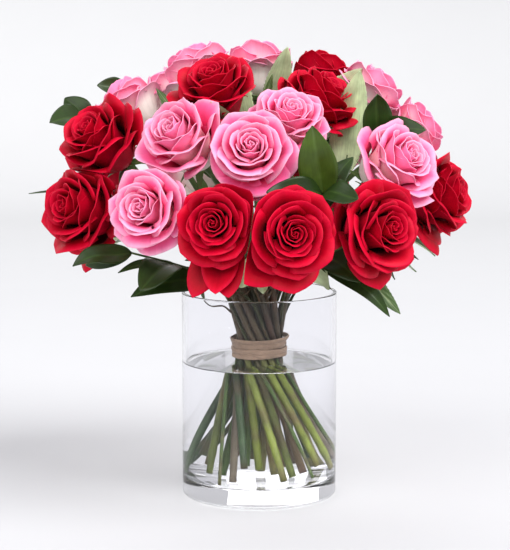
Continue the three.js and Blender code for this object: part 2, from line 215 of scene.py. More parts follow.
def rgba(colour):
    """One colour or many, with a full alpha."""
    colour = np.asarray(colour, dtype=float)
    return np.concatenate([colour, np.ones(colour.shape[:-1] + (1,))], axis=-1)


# ---------------------------------------------------------------- what the CAD nodes say
def cad_mesh(name):
    """A node's distinct points and how many triangles meet at each."""
    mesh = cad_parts[name].data
    mesh.calc_loop_triangles()
    points = np.empty(len(mesh.vertices) * 3)
    mesh.vertices.foreach_get("co", points)
    corners = np.empty(len(mesh.loop_triangles) * 3, dtype=np.int32)
    mesh.loop_triangles.foreach_get("vertices", corners)
    points = points.reshape(-1, 3)
    _, first, same = np.unique(np.round(points, 5), axis=0, return_index=True, return_inverse=True)
    return points[first], np.bincount(same.ravel()[corners], minlength=len(first))


def cad_bloom(name):
    """A bloom's base, the way it faces, and its spread, from the two poles of its solid."""
    points, uses = cad_mesh(name)
    poles = points[np.argsort(uses)[-2:]]
    tie = np.array([0, 0, LOW_Z])
    base, face = sorted(poles, key=lambda p: np.linalg.norm(p - tie))
    depth = np.linalg.norm(face - base)
    return base, (face - base) / depth, depth / BLOOM_DEPTH


def ring_centre(points, low, high):
    """The middle of the points between two heights."""
    ring = points[(points[:, 2] > low) & (points[:, 2] < high)]
    return ring.mean(axis=0)


def cad_foot(points, radius):
    """The middle of a stem's cut foot."""
    low = points[:, 2].min()
    return ring_centre(points, low - 1, low + 2.5 * radius)


# ---------------------------------------------------------------- materials
def new_material(name):
    """A new material, with its node tree and its shader."""
    material = bpy.data.materials.new(name)
    material.use_nodes = True
    tree = material.node_tree
    return material, tree, tree.nodes["Principled BSDF"]


def node(tree, kind, **values):
    """A new node with some of its inputs and settings given."""
    made = tree.nodes.new(kind)
    for key, value in values.items():
        if key in made.inputs:
            made.inputs[key].default_value = value
        else:
            setattr(made, key, value)
    return made


def grain_noise(tree, scale, stretch, detail=4.0):
    """Noise on the piece's own grain coordinates, stretched along them."""
    coords = node(tree, "ShaderNodeUVMap", uv_map="grain")
    mapping = node(tree, "ShaderNodeMapping")
    mapping.inputs["Scale"].default_value = (scale * stretch, scale, 1)
    noise = node(tree, "ShaderNodeTexNoise", Scale=1.0, Detail=detail)
    tree.links.new(coords.outputs["UV"], mapping.inputs["Vector"])
    tree.links.new(mapping.outputs["Vector"], noise.inputs["Vector"])
    return noise.outputs["Fac"]


def space_noise(tree, scale, detail=3.0):
    """Noise through the piece's own space, the same in every direction."""
    coords = node(tree, "ShaderNodeTexCoord")
    noise = node(tree, "ShaderNodeTexNoise", Scale=scale, Detail=detail)
    tree.links.new(coords.outputs["Object"], noise.inputs["Vector"])
    return noise.outputs["Fac"]


def scaled_tint(tree, factor, low, high, source=None):
    """The tint attribute, or another source, made darker and lighter by a noise."""
    tint = source or node(tree, "ShaderNodeAttribute", attribute_name="tint").outputs["Color"]
    spread = node(tree, "ShaderNodeMapRange")
    spread.inputs["From Min"].default_value = 0.3
    spread.inputs["From Max"].default_value = 0.7
    spread.inputs["To Min"].default_value = low
    spread.inputs["To Max"].default_value = high
    tree.links.new(factor, spread.inputs["Value"])
    scaled = node(tree, "ShaderNodeVectorMath", operation="SCALE")
    tree.links.new(tint, scaled.inputs[0])
    tree.links.new(spread.outputs["Result"], scaled.inputs["Scale"])
    return scaled.outputs["Vector"]


def add_bump(tree, shader, height, distance, strength):
    bump = node(tree, "ShaderNodeBump", Distance=distance, Strength=strength)
    tree.links.new(height, bump.inputs["Height"])
    tree.links.new(bump.outputs["Normal"], shader.inputs["Normal"])


def petal_material(name, sheen_tint, roughness, sheen, shine):
    material, tree, shader = new_material(name)
    veins = grain_noise(tree, 30, 26)
    mottle = space_noise(tree, 90)
    colour = scaled_tint(tree, mottle, 0.92, 1.10, scaled_tint(tree, veins, 0.96, 1.05))
    tree.links.new(colour, shader.inputs["Base Color"])
    shader.inputs["Roughness"].default_value = roughness
    shader.inputs["Specular IOR Level"].default_value = shine
    shader.inputs["Sheen Weight"].default_value = sheen
    shader.inputs["Sheen Roughness"].default_value = 0.45
    shader.inputs["Sheen Tint"].default_value = (*sheen_tint, 1)
    add_bump(tree, shader, veins, 0.0004, 0.5)
    return material


def green_material(name, roughness, coat, stretch, bump):
    material, tree, shader = new_material(name)
    veins = grain_noise(tree, 60, stretch)
    mottle = space_noise(tree, 60)
    colour = scaled_tint(tree, mottle, 0.72, 1.25, scaled_tint(tree, veins, 0.85, 1.15))
    tree.links.new(colour, shader.inputs["Base Color"])
    shader.inputs["Roughness"].default_value = roughness
    shader.inputs["Coat Weight"].default_value = coat
    shader.inputs["Coat Roughness"].default_value = 0.22
    shader.inputs["Specular IOR Level"].default_value = 0.22
    add_bump(tree, shader, veins, bump, 0.6)
    return material


def raffia_material():
    material, tree, shader = new_material("raffia_fibre")
    fibres = grain_noise(tree, 8, 420, 6.0)
    mottle = space_noise(tree, 120)
    colour = scaled_tint(tree, mottle, 0.85, 1.12, scaled_tint(tree, fibres, 0.72, 1.18))
    tree.links.new(colour, shader.inputs["Base Color"])
    shader.inputs["Roughness"].default_value = 0.62
    shader.inputs["Sheen Weight"].default_value = 0.15
    add_bump(tree, shader, fibres, 0.0005, 0.8)
    return material


def clear_material(name, ior, colour, shine, ripple, coat=0.0):
    """A clear material with slight ripples, given as their scale, height and strength."""
    material, tree, shader = new_material(name)
    shader.inputs["Base Color"].default_value = (*colour, 1)
    shader.inputs["Transmission Weight"].default_value = 1
    shader.inputs["IOR"].default_value = ior
    shader.inputs["Roughness"].default_value = 0
    shader.inputs["Specular Tint"].default_value = (shine, shine, shine, 1)
    shader.inputs["Coat Weight"].default_value = coat
    scale, height, strength = ripple
    add_bump(tree, shader, space_noise(tree, scale, 1.0), height, strength)
    return material


def glass_material():
    return clear_material("vase_glass", 1.5, (0.965, 0.965, 0.982), 0.35, (14, 0.0006, 0.25))


def water_material(name, shine, coat):
    return clear_material(name, 1.333, (0.99, 0.992, 0.992), shine, (22, 0.0005, 0.2), coat)


def floor_material():
    material, tree, shader = new_material("pale_floor")
    mottle = space_noise(tree, 6)
    tree.links.new(scaled_tint(tree, mottle, 0.995, 1.005), shader.inputs["Base Color"])
    shader.inputs["Roughness"].default_value = 0.9
    shader.inputs["Specular IOR Level"].default_value = 0.1
    return material


# ---------------------------------------------------------------- roses
# How a petal's shape changes from the innermost petal (age 0) to the outermost (age 1). The three
# angles, in degrees from the way the bloom faces, are the petal's slope at its base, over its
# middle and at its rim. The lip is how much further its rim rolls back, and the wrap is half the
# angle that the petal spans round the bloom, in radians.
AGE = [0.00, 0.08, 0.25, 0.45, 0.65, 0.80, 0.92, 1.00]
PETAL_SHAPE = {
    "base_slope": [3, 12, 35, 55, 70, 78, 84, 88],
    "middle_slope": [-1, -2, -2, 2, 9, 19, 30, 40],
    "rim_slope": [-6, -6, 2, 16, 38, 62, 84, 98],
    "lip": [0, 15, 50, 72, 78, 70, 60, 50],
    "length": [1.20, 1.27, 1.36, 1.42, 1.40, 1.32, 1.18, 1.06],
    "wrap": [2.9, 2.2, 1.5, 1.15, 1.02, 0.94, 0.88, 0.82],
    "base_radius": [0.015, 0.03, 0.05, 0.06, 0.07, 0.08, 0.08, 0.08],
    "spiral": [0.035, 0.03, 0.025, 0.02, 0.02, 0.02, 0.02, 0.02],
}
# Petal colours: painted crevice shade deep in the bloom, light on the front, at the rim (a painted
# highlight on the rolled lip, and for pink also the petals' own paler edge), on the back and low on
# the palest backs. Then how far the rim waves, as a share of the bloom's spread, and how ragged it
# is, as a share of the petal's length.
PINK = {
    # painted crevice shade: a deeper, more saturated pink that stands in for shade and light bounced between
    # petals
    "crevice_shade": (0.95, 0.012, 0.170),
    "light": (0.97, 0.165, 0.400),
    # the rim colour: the pink petals' own paler edge, made lighter still by a painted highlight on the
    # rolled lip
    "rim": (0.98, 0.500, 0.650),
    "back": (0.96, 0.280, 0.500),
    "cream": (0.97, 0.860, 0.800),
    "ruffle": 0.034,
    "ragged": 0.025,
}
RED = {
    # painted crevice shade: a near-black red
    "crevice_shade": (0.075, 0.0, 0.003),
    "light": (0.500, 0.0, 0.014),
    # the rim colour: a lighter red, which is a painted highlight on the rolled lip
    "rim": (0.640, 0.001, 0.034),
    "back": (0.470, 0.0, 0.016),
    "cream": (0.440, 0.0, 0.020),
    "ruffle": 0.025,
    "ragged": 0.010,
}
# Roses with more petals that hang below them: each one's turn from straight down, in radians, and
# how far it hangs, as a share of the most that one can.
HANGING = {
    "red_front_left": [(-0.30, 1.0), (0.28, 0.9), (0.02, 0.75)],
    "red_front": [(-0.85, 0.5), (0.05, 0.2)],
    "red_front_right": [(0.05, 0.3)],
    "red_low_left": [(0.25, 0.3)],
    "red_low_right": [(-0.1, 0.25)],
    "pink_centre": [(0.0, 0.15)],
}
# Roses that are less open than the others, and their share of a full opening.
CUPPED = {
    "pink_mid_right": 0.88,
    "pink_mid_left": 0.93,
    "red_mid_left": 0.92,
    "red_crown": 0.92,
    "pink_upper": 0.94,
    "red_upper_right": 0.92,
    "red_low_left": 0.95,
}


def petal_slope(shape, s, u, loose, hang, jitter):
    """A petal's slope at each of its points, in radians from the way the bloom faces."""
    middle = shape["middle_slope"] + 3.5 * jitter[0] * loose + 28 * hang
    rim = shape["rim_slope"] + 9 * jitter[1] * loose + 14 * loose * np.abs(u) ** 1.6 - 22 * hang
    lip = shape["lip"] * (0.8 + 0.25 * jitter[2]) * (0.35 + 0.65 * np.abs(u) ** 1.2) * (1 - 0.5 * hang)
    slope = shape["base_slope"] + (middle - shape["base_slope"]) * smooth(s / 0.42)
    slope = slope + (rim - middle) * smooth((s - 0.55) / 0.45)
    slope = slope + lip * smooth((s - 0.88) / 0.12)
    return np.radians(slope)


def petal_outline(s, u, loose, hang, look, phase):
    """How long a petal is at each place across it: rounded, a little pointed and ragged at its rim."""
    outline = 1 - (0.16 + 0.08 * loose) * np.abs(u) ** (3 - 1.2 * loose)
    outline = outline + 0.04 * loose * np.exp(-((u / 0.14) ** 2))
    outline = outline + 0.02 * loose * np.sin(4 * u + phase[0]) - 0.4 * hang * np.abs(u) ** 1.4
    notches = np.sin(11 * u + phase[4]) + 0.8 * np.sin(19 * u + phase[5])
    return outline + look["ragged"] * notches * s**6


def petal_ruffle(s, angle, loose, look, phase):
    """How far a petal's waves and creases push each point out."""
    wave = np.sin(5.5 * angle + phase[1]) + 0.7 * np.sin(9 * angle + phase[2] + 3 * s)
    crease = np.sin(3.1 * angle + phase[3] + 2.2 * s)
    size = 0.25 + 0.75 * loose
    return size * look["ruffle"] * (wave * s**4 + 1.1 * crease * s**1.5)


def petal_grid(age, turn, hang, look, rng):
    """One petal as a grid in shares of the bloom's spread, with its base at the origin and +Z the
    way the bloom faces. Gives the grid, and each point's place along the petal from 0 to 1 and
    across it from -1 to 1."""
    shape = {key: float(np.interp(age, AGE, values)) for key, values in PETAL_SHAPE.items()}
    cols = 25 if age < 0.2 else 15
    rows = np.linspace(0, 1, PETAL_ROWS)
    s, u = np.meshgrid(1 - (1 - rows) ** 1.45, np.linspace(-1, 1, cols), indexing="ij")
    jitter = rng.normal(0, 1, 10)
    phase = rng.uniform(0, 2 * math.pi, 6)
    loose = smooth((age - 0.2) / 0.6)  # outer petals differ more from each other
    slope = petal_slope(shape, s, u, loose, hang, jitter)
    length = shape["length"] * (1 + 0.035 * jitter[3] * loose + 0.55 * hang)
    step = np.diff(s, axis=0, prepend=0) * length * petal_outline(s, u, loose, hang, look, phase)
    half_way = np.concatenate([slope[:1], (slope[1:] + slope[:-1]) / 2])
    r = shape["base_radius"] + np.cumsum(np.sin(half_way) * step, axis=0)
    z = np.cumsum(np.cos(half_way) * step, axis=0)
    waist = 0.55 + 0.45 * smooth(s / 0.5)
    wrap = shape["wrap"] * (1 + 0.06 * jitter[4] * loose) * (1 - 0.4 * hang)
    angle = wrap * waist * u
    r = r + shape["spiral"] * u * s * 1.6
    r = r * (1 + 0.20 * loose * (1 / np.cos(np.clip(angle * 0.75, -1, 1)) - 1))
    theta = turn + angle + 0.06 * jitter[5] * s
    grid = np.stack([r * np.cos(theta), r * np.sin(theta), z], axis=-1)
    push = petal_ruffle(s, angle, loose, look, phase)
    return grid + grid_normals(grid) * push[..., None], s, u


def petal_colours(look, s, age, rng):
    """Painted shade deep in the crevices and low on the inner petals' backs, and paler towards the rims,
    where a highlight is painted on the rolled lip. Outer petals are palest low on their backs.
    """
    fade = rng.uniform(0.92, 1.08)
    # painted shade: the inside has the crevice colour up to this share of the petal, and lightens above it
    shaded_reach = np.interp(age, [0, 0.5, 1], [0.66, 0.55, 0.38])
    inside = mix(look["crevice_shade"], look["light"], smooth((s - shaded_reach) / (0.97 - shaded_reach)))
    # paler towards the rim: a painted highlight on the rolled lip, over the pink petals' own paler edge
    inside = mix(inside, look["rim"], smooth((s - 0.88) / 0.12) * 0.7)
    paleness = smooth((age - 0.45) / 0.4) * (1 - 0.8 * smooth((s - 0.6) / 0.35))
    outside = mix(look["back"], look["cream"], paleness)
    # painted shade low on the backs of the inner petals, where they sit deep in the bloom
    outside = mix(look["crevice_shade"], outside, np.clip(0.4 + 0.6 * s + 0.6 * age, 0, 1))
    both = np.concatenate([outside.reshape(-1, 3), inside.reshape(-1, 3)])
    return rgba(np.clip(both * fade, 0, 0.97))


# Blooms nearer than this share of their spreads press on each other, and petals give way from this
# share of the distance to the plane between them.
PRESS = {"near": 1.35, "free": 0.72}


def keep_off_neighbours(points, rose, roses):
    """Squeeze a bloom's petals together where it presses on a neighbour."""
    for other in roses:
        if other is rose:
            continue
        way = other["centre"] - rose["centre"]
        apart = np.linalg.norm(way)
        if apart > PRESS["near"] * (rose["spread"] + other["spread"]):
            continue
        way = way / apart
        limit = apart / 2 + (rose["spread"] ** 2 - other["spread"] ** 2) / (2 * apart)
        free = PRESS["free"] * limit
        reach = (points - rose["centre"]) @ way
        over = np.maximum(reach - free, 0)
        give = (limit - free) * np.tanh(over / (limit - free))
        points = points + np.outer(np.where(over > 0, give - over, 0), way)
    return points


def level_and_up(facing):
    """Two ways square to the way a bloom faces: one level, the other as near up as can be."""
    across = np.cross([0, 0, 1.0], facing)
    across /= np.linalg.norm(across)
    return across, np.cross(facing, across)


def bloom_parts(rose, roses):
    """A rose's petals, each one part, wound either way round and squeezed off the neighbours."""
    rng = np.random.default_rng(rose["seed"])
    look = PINK if rose["name"].startswith("pink") else RED
    across, up = level_and_up(rose["facing"])
    axes = np.stack([across, up, rose["facing"]])
    spin = rng.choice([-1, 1])
    start = rng.uniform(0, 2 * math.pi)
    openness = rng.uniform(0.94, 1.03) * CUPPED.get(rose["name"], 1)
    down = math.atan2(-up[2], -across[2] * spin)
    petals = [(i / (PETALS - 1), start + i * GOLDEN_TURN, 0.0) for i in range(PETALS)]
    petals += [(1.0, down + spin * turn, hang) for turn, hang in HANGING.get(rose["name"], [])]
    parts = []
    for i, (age, turn, hang) in enumerate(petals):
        grid, s, u = petal_grid(age * openness, turn, hang, look, rng)
        points, quads = thicken(grid, PETAL_THICKNESS / rose["spread"])
        points[:, 0] *= spin
        if spin > 0:
            quads = quads[:, ::-1]
        placed = rose["base"] + (points * rose["spread"] * FULLNESS) @ axes
        placed = keep_off_neighbours(placed, rose, roses)
        wrap = np.interp(age, AGE, PETAL_SHAPE["wrap"])
        grain = np.stack([u * wrap * PETAL_GRAIN[0], s * PETAL_GRAIN[1]], axis=-1).reshape(-1, 2)
        colours = petal_colours(look, s, age, rng)
        parts.append((placed, quads, colours, np.concatenate([grain, grain]) + i, 0))
    return parts


# ---------------------------------------------------------------- stems and leaves
def bezier(p0, p1, p2, p3, count):
    """Points along the curve that leaves p0 towards p1 and reaches p3 from p2."""
    t = np.linspace(0, 1, count)[:, None]
    return (1 - t) ** 3 * p0 + 3 * (1 - t) ** 2 * t * p1 + 3 * (1 - t) * t**2 * p2 + t**3 * p3


def between(p, q, start, end, x):
    """Where x is on the line that is at p at start and at q at end."""
    return p * (end - x) / (end - start) + q * (x - start) / (end - start)


def through(points, steps):
    """A smooth curve through points, with knots spaced by their distances."""
    points = [np.asarray(p, dtype=float) for p in points]
    points = [2 * points[0] - points[1], *points, 2 * points[-1] - points[-2]]
    gaps = [np.linalg.norm(b - a) for a, b in zip(points, points[1:])]
    knots = np.concatenate([[0], np.cumsum(gaps)])
    curve = []
    for k in range(1, len(points) - 2):
        p, t = points[k - 1 : k + 3], knots[k - 1 : k + 3]
        for x in np.linspace(t[1], t[2], steps, endpoint=k == len(points) - 3):
            a = [between(p[j], p[j + 1], t[j], t[j + 1], x) for j in range(3)]
            b = [between(a[j], a[j + 1], t[j], t[j + 2], x) for j in range(2)]
            curve.append(between(b[0], b[1], t[1], t[2], x))
    return np.array(curve)


# Stem colours, each dry above the water and wet below it.
STEM_COLOURS = [
    ((0.075, 0.056, 0.030), (0.090, 0.115, 0.024)),
    ((0.105, 0.078, 0.046), (0.165, 0.205, 0.030)),
    ((0.050, 0.048, 0.026), (0.032, 0.066, 0.022)),
    ((0.115, 0.080, 0.050), (0.135, 0.098, 0.052)),
    ((0.050, 0.055, 0.022), (0.058, 0.105, 0.024)),
    ((0.080, 0.060, 0.036), (0.150, 0.145, 0.045)),
    ((0.066, 0.050, 0.032), (0.140, 0.115, 0.080)),
]
FRESH_GREEN = (0.075, 0.130, 0.035)
BRUISED = (0.110, 0.055, 0.040)
DRY_BROWN = np.array([0.130, 0.085, 0.050])
THORN_BROWN = (0.23, 0.10, 0.05)


def stem_colours(heights, choice, rng):
    """Dry above the water, greener in it, fresh near the bloom, with a few brown patches."""
    dry, wet = STEM_COLOURS[choice % len(STEM_COLOURS)]
    low = mix(wet, dry, smooth((heights - 0.118) / 0.03))
    colour = mix(low, FRESH_GREEN, smooth((heights - 0.215) / 0.06))
    for place in rng.uniform(0.02, 0.20, 3):
        colour = mix(colour, BRUISED, 0.55 * np.exp(-(((heights - place) / rng.uniform(0.004, 0.012)) ** 2)))
    return rgba(colour)


def stem_part(path, radii, choice, rng):
    """A stem with slight knots where leaves were stripped."""
    length = np.concatenate([[0], np.cumsum(np.linalg.norm(np.diff(path, axis=0), axis=1))])
    radii = np.array(radii)
    for place in rng.uniform(0.05, 0.8, 5) * length[-1]:
        radii = radii * (1 + 0.16 * np.exp(-(((length - place) / 0.0032) ** 2)))
    points, quads, grain = tube(path, radii, 12, np.full(len(path), 0.02))
    return points, quads, stem_colours(points[:, 2], choice, rng), grain, 0


def thorn_parts(path, radius, rng):
    """Small hooked thorns on the free part of a stem."""
    parts = []
    for place in rng.uniform(0.35, 0.92, THORN["count"]):
        i = int(place * (len(path) - 2))
        way = path[i + 1] - path[i]
        way /= np.linalg.norm(way)
        side = np.cross(way, rng.normal(size=3))
        side /= np.linalg.norm(side)
        root = path[i] + side * radius * 0.8
        hook = [
            root,
            root + side * 0.0018,
            root + side * 0.0034 - way * 0.0008,
            root + side * 0.0044 - way * 0.0020,
        ]
        points, quads, grain = tube(hook, THORN["radii"], 8)
        parts.append((points, quads, rgba(THORN_BROWN), grain, 0))
    return parts


def leaf_axes(base, tip, facing):
    """A leaf's length, and the ways along it, across it and out of its upper side."""
    along = tip - base
    length = np.linalg.norm(along)
    along /= length
    outward = np.array(facing) if facing else (base + tip) / 2 - np.array(LEAF_MIDDLE)
    face = outward - along * outward.dot(along)
    face /= np.linalg.norm(face)
    return length, along, np.cross(face, along), face


def leaf_grid(base, tip, width, rng, facing, teeth):
    """A leaf blade as a grid, and each point's place along it and across it."""
    length, along, side, face = leaf_axes(base, tip, facing)
    rows, cols = (64, 13) if teeth else (26, 13)
    s, u = np.meshgrid(np.linspace(0, 1, rows), np.linspace(-1, 1, cols), indexing="ij")
    twist = rng.normal(0, 0.16) * (s - 0.3)
    half = (width / 2) * LEAF_FULLNESS * s**0.6 * (1 - s) ** 0.8
    half = np.maximum(half, 0.0004)
    if teeth:
        saw = (s * teeth) % 1.0
        half = half * (1 + 0.10 * (saw - 0.5) * np.abs(u) ** 3)
    fold = 0.22 * np.abs(u) ** 1.3 * half
    edge_wave = 0.045 * width * u**2 * np.sin(2 * math.pi * (1.3 * s) + rng.uniform(0, 6.3))
    arch = 0.10 * length * np.sin(math.pi * s) + 0.03 * length * rng.normal() * np.sin(2 * math.pi * s)
    midrib = 0.0006 * np.exp(-((u / 0.10) ** 2)) * (1 - s)
    height = arch + fold + edge_wave - midrib
    width_way = side * np.cos(twist)[..., None] + face * np.sin(twist)[..., None]
    middle_line = base + along * (s * length)[..., None]
    return middle_line + width_way * (u * half)[..., None] + face * height[..., None], s, u


def leaf_part(base, tip, width, look, rng, facing=None, teeth=0):
    """A leaf blade from base to tip, folded along its midrib and arched, as a thin shell. It faces
    away from the posy's middle unless told otherwise."""
    grid, s, u = leaf_grid(base, tip, width, rng, facing, teeth)
    points, quads = thicken(grid, 0.0006 * (1 - 0.6 * np.abs(u) ** 4))
    rib = np.exp(-((u / 0.07) ** 2))
    if teeth:  # side veins slant from the midrib
        rib = rib + 0.5 * np.exp(-(((((s - 0.3 * np.abs(u)) * 6) % 1 - 0.5) / 0.2) ** 2))
    rib = np.clip(rib, 0, 1)
    top = mix(look["top"], look["vein"], 0.55 * rib)
    under = mix(look["under"], look["vein"], 0.7 * rib)
    fade = rng.uniform(0.82, 1.18)
    colours = rgba(np.clip(np.concatenate([under.reshape(-1, 3), top.reshape(-1, 3)]) * fade, 0, 1))
    grain = np.stack([u * width / 2, s * np.linalg.norm(tip - base)], axis=-1).reshape(-1, 2)
    return points, quads, colours, np.concatenate([grain, grain]), 1


# Leaf colours, on the upper side, on the under side and along the veins.
RUSCUS_LEAF = {"top": (0.021, 0.043, 0.008), "under": (0.095, 0.145, 0.060), "vein": (0.055, 0.100, 0.022)}
ROSE_LEAF = {"top": (0.045, 0.100, 0.018), "under": (0.540, 0.650, 0.370), "vein": (0.460, 0.560, 0.300)}
YOUNG_LEAF = {"top": (0.060, 0.100, 0.012), "under": (0.120, 0.180, 0.070), "vein": (0.100, 0.160, 0.035)}
SEPAL = {"top": (0.110, 0.200, 0.060), "under": (0.160, 0.260, 0.090), "vein": (0.150, 0.250, 0.080)}


def sepal_parts(rose, rng):
    """Five narrow sepals that bend back round the hip."""
    facing, base = rose["facing"], rose["base"]
    across, up = level_and_up(facing)
    parts = []
    for k in range(5):
        turn = k * 2 * math.pi / 5 + rng.uniform(-0.2, 0.2)
        out = across * math.cos(turn) + up * math.sin(turn)
        side = np.cross(facing, out)
        length = rng.uniform(0.022, 0.030)
        s, u = np.meshgrid(np.linspace(0, 1, 16), np.linspace(-1, 1, 7), indexing="ij")
        slope = np.radians(rng.uniform(75, 95) + rng.uniform(10, 60) * s)
        step = np.full(s.shape, length / 15)
        step[0] = 0
        r = 0.0045 + np.cumsum(np.sin(slope) * step, axis=0)
        h = -0.0018 + np.cumsum(np.cos(slope) * step, axis=0)
        half = 0.0042 * (1 - s) ** 0.8 * (0.75 + 0.5 * np.sin(math.pi * np.minimum(1, s * 1.4))) + 0.0002
        h = h + 0.10 * half * u**2
        grid = base + out * r[..., None] + facing * h[..., None] + side * (u * half)[..., None]
        points, quads = thicken(grid, 0.0005)
        colours = rgba(np.concatenate([mix(SEPAL["top"], SEPAL["vein"], s).reshape(-1, 3)] * 2))
        grain = np.stack([u * half, s * length], axis=-1).reshape(-1, 2)
        parts.append((points, quads, colours, np.concatenate([grain, grain]), 1))
    return parts


# The same leaves as the CAD model's, in millimetres. For each rose with compound leaves, where they
# grow as a share of its stem's free end, then each leaflet's tip, width and, where it matters, the
# way its upper side faces.
ROSE_LEAVES = {
    "pink_crown_back": [0.74, [[27, 4, 434], 26, [0.1, 0.95, 0.2]], [[-34, 0, 428], 20]],
    "red_upper_right": [0.7, [[98, 0, 414], 40, [0.1, 0.95, 0.2]]],
    "pink_mid_right": [0.75, [[94, -32, 413], 34, [-0.1, 0.95, 0.2]]],
    "red_crown": [0.72, [[12, -44, 410], 17, [0.5, -0.8, 0.2]], [[-44, -98, 386], 24, [-0.1, -0.6, 0.8]]],
    "pink_mid_left": [0.66, [[-97, -26, 396], 17, [0.2, -0.9, 0.2]]],
    "red_front": [0.5, [[-20, -104, 219], 24, [0, 0.9, 0.3]], [[64, -118, 219], 30, [0.2, 0.9, 0.5]]],
    "red_front_left": [0.4, [[-44, -92, 226], 20, [0, 0.9, 0.3]], [[4, -108, 214], 18, [0, 0.9, 0.3]]],
    "red_front_right": [0.72, [[129, -100, 193], 19, [0.3, -0.9, 0.2]], [[112, -120, 224], 24]],
    "red_back_low_right": [0.6, [[138, 132, 228], 30], [[110, 120, 240], 26]],
    "pink_back_low": [0.6, [[-86, 158, 230], 30], [[-30, 164, 236], 26]],
    "red_back_low_left": [0.6, [[-150, 86, 230], 30], [[-172, 44, 242], 26]],
    "red_low_right": [0.6, [[172, 20, 232], 28], [[150, -24, 222], 26]],
}

# The ruscus sprigs: each stem's route above the tie, and its leaves as [route point, tip, width, and
# the way its upper side faces].
SPRIGS = {
    "ruscus_front_right": {
        "route": [[44, -92, 252], [53, -122, 290], [56, -136, 306]],
        "leaves": [
            [2, [46, -150, 368], 35, [-0.1, -0.95, 0.2]],
            [2, [6, -167, 311], 26],
            [2, [86, -166, 305], 25],
            [1, [84, -118, 338], 24, [-0.4, -0.8, 0.3]],
            [0, [90, -140, 228], 34, [0.1, -0.8, 0.6]],
            [0, [118, -116, 193], 22, [0.2, -0.8, 0.5]],
            [0, [100, -100, 206], 16, [0.2, 0.8, 0.3]],
        ],
    },
    "ruscus_low_left": {
        "route": [[-44, -66, 222], [-78, -92, 238], [-116, -106, 250]],
        "leaves": [
            [2, [-168, -124, 240], 26, [-0.2, -0.7, 0.7]],
            [1, [-106, -144, 221], 34, [-0.3, -0.9, 0.3]],
            [0, [-116, -124, 212], 28, [-0.1, -0.8, 0.5]],
            [2, [-160, -86, 236], 18],
            [1, [-128, -116, 233], 12, [0, -0.6, 0.8]],
            [0, [-66, -128, 246], 20, [0.3, 0.9, 0.3]],
            [0, [-52, -124, 214], 20],
        ],
    },
    "ruscus_left": {
        "route": [[-92, 2, 262], [-138, 14, 322], [-166, 36, 362], [-132, 86, 388]],
        "leaves": [
            [2, [-201, 4, 362], 33, [-0.3, -0.8, 0.5]],
            [2, [-190, 42, 384], 26, [-0.2, -0.8, 0.6]],
            [3, [-160, 66, 396], 22, [0, -0.9, 0.4]],
            [1, [-178, 66, 330], 24],
            [0, [-160, 36, 250], 26],
            [0, [-222, 2, 294], 13, [0, -0.4, 1]],
        ],
    },
    "ruscus_right": {
        "route": [[80, -22, 262], [94, -20, 292], [106, -24, 350]],
        "leaves": [
            [2, [109, -52, 392], 32, [0.3, -0.9, 0.3]],
            [2, [154, -62, 359], 28, [0.2, -0.9, 0.4]],
            [1, [130, 40, 318], 24],
            [0, [150, -44, 236], 26],
            [0, [130, -20, 214], 24],
        ],
    },
    "ruscus_back": {
        "route": [[4, 84, 258], [2, 122, 292], [32, 142, 318]],
        "leaves": [
            [2, [36, 164, 372], 34],
            [2, [-22, 166, 330], 26],
            [2, [86, 152, 320], 26],
            [1, [-62, 150, 320], 26],
            [0, [-40, 152, 226], 30],
            [0, [44, 156, 228], 30],
        ],
    },
}

# The leaves that are younger and so paler, by their places in the lists above.
YOUNG = {("ruscus_front_right", 0)}


def read_roses():
    """Each rose's name, seed and bloom, in the order of their names."""
    names = [n[: -len("_bloom")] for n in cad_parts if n.endswith("_bloom")]
    roses = []
    for seed, name in enumerate(sorted(names)):
        base, facing, spread = cad_bloom(name + "_bloom")
        rose = {"name": name, "seed": seed + SEEDS["rose"], "base": base, "facing": facing, "spread": spread}
        rose["centre"] = base + facing * BLOOM_MIDDLE * spread
        roses.append(rose)
    return roses


def free_stem(rose):
    """A rose stem's foot, and its curve from where it leaves the bunch to its bloom."""
    points, _ = cad_mesh(rose["name"] + "_stem")
    foot = cad_foot(points, STEM["radius"])
    bend = ring_centre(points, BEND_Z - 0.003, BEND_Z + 0.003)
    way = (bend - foot) / np.linalg.norm(bend - foot)
    pull = PULL * np.linalg.norm(bend - rose["base"])
    curve = bezier(bend, bend + way * pull, rose["base"] - rose["facing"] * pull, rose["base"], 41)
    return foot, curve


def stem_radii(path):
    """Slim up to the hip, a swelling just below the bloom."""
    left = np.linalg.norm(path - path[-1], axis=1)
    share = np.linspace(0, 1, len(path))
    slim = STEM["radius"] + (STEM["neck"] - STEM["radius"]) * share
    swell = np.exp(-(((left - 0.0035) / 0.0062) ** 2))
    return slim + (STEM["hip"] - slim) * swell


def rose_green_parts(rose, number):
    """A rose's stem, thorns and sepals, and its leaflets if it has any."""
    rng = np.random.default_rng(SEEDS["stem"] + rose["seed"])
    foot, curve = free_stem(rose)
    straight = np.linspace(foot, curve[0], 26, endpoint=False)
    path = np.concatenate([straight, curve])
    parts = [stem_part(path, stem_radii(path), number, rng)]
    parts += thorn_parts(curve[:-6], STEM["neck"], rng)
    parts += sepal_parts(rose, rng)
    share, *leaflets = ROSE_LEAVES.get(rose["name"], [0.5])
    root = curve[int(share * (len(curve) - 1))]
    for tip, width, *facing in leaflets:
        tip = np.array(tip) * MM
        start = root + (tip - root) * LEAFLET_STALK
        stalk = through([root, start, tip], 6)[:8]  # it ends a step past the start of the blade
        points, quads, grain = tube(stalk, np.linspace(0.0011, 0.0006, 8), 8)
        parts.append((points, quads, rgba(FRESH_GREEN), grain, 0))
        parts.append(leaf_part(start, tip, width * MM, ROSE_LEAF, rng, *facing, teeth=22))
    return parts


